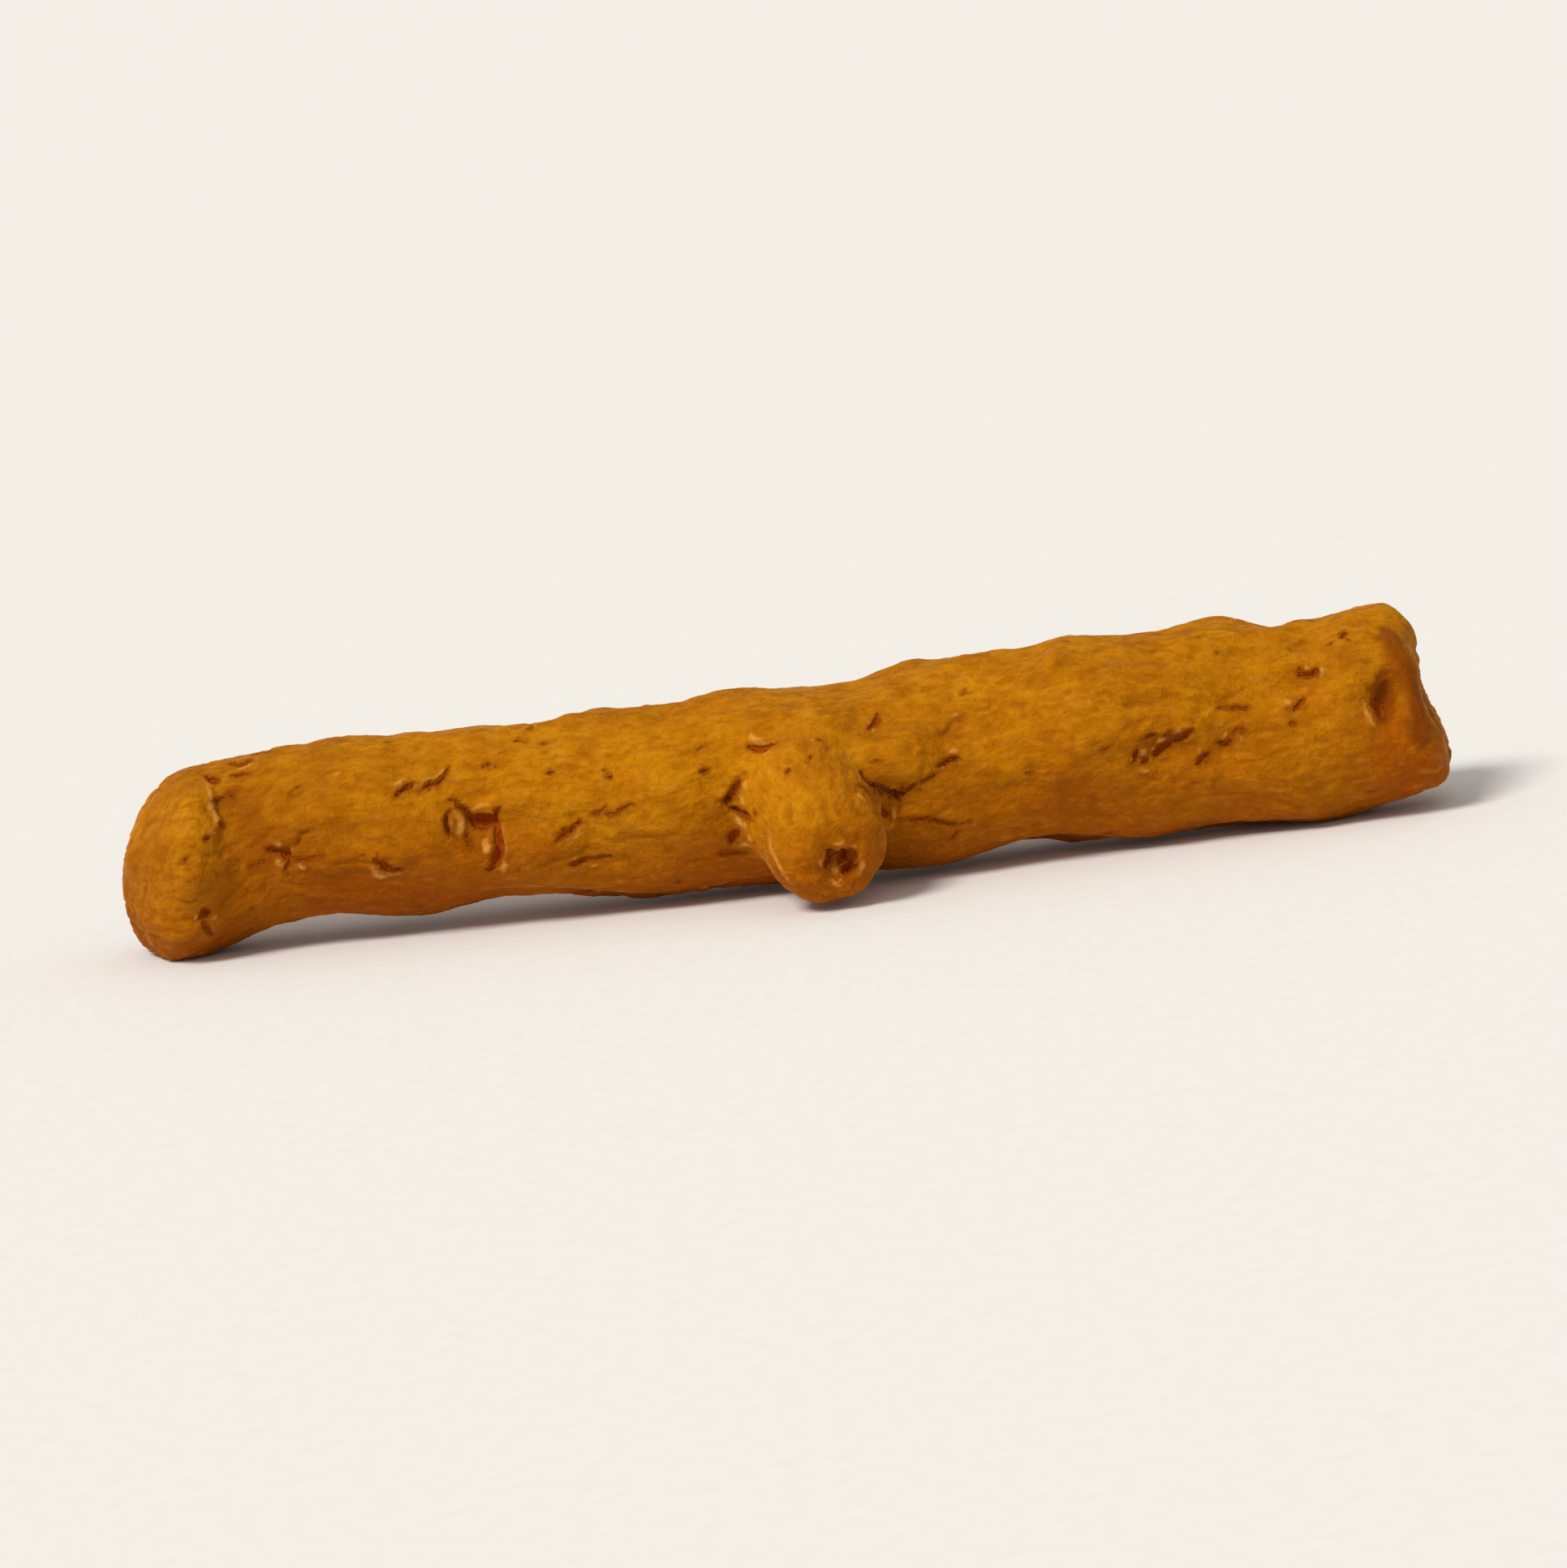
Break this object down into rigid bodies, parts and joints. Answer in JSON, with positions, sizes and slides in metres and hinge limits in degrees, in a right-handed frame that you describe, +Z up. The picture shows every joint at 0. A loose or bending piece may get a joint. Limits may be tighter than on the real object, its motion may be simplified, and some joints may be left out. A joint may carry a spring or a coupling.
{
  "type": "turmeric root",
  "caption": "Dried turmeric finger: a slightly bowed, wrinkled ochre rhizome with a blunt domed end, a broken end, leaf-scar rings and a short side bud on its front.",
  "frame": {"origin": "on the table, below the middle of the finger's bounding box", "axes": "+X along the finger from its domed end to its broken end, +Z up, the side bud towards -Y"},
  "size_m": [0.0768, 0.018, 0.0124],
  "materials": {
    "turmeric_skin": null
  },
  "bodies": {
    "root": {"turmeric_root": "turmeric_skin"}
  },
  "joints": []
}
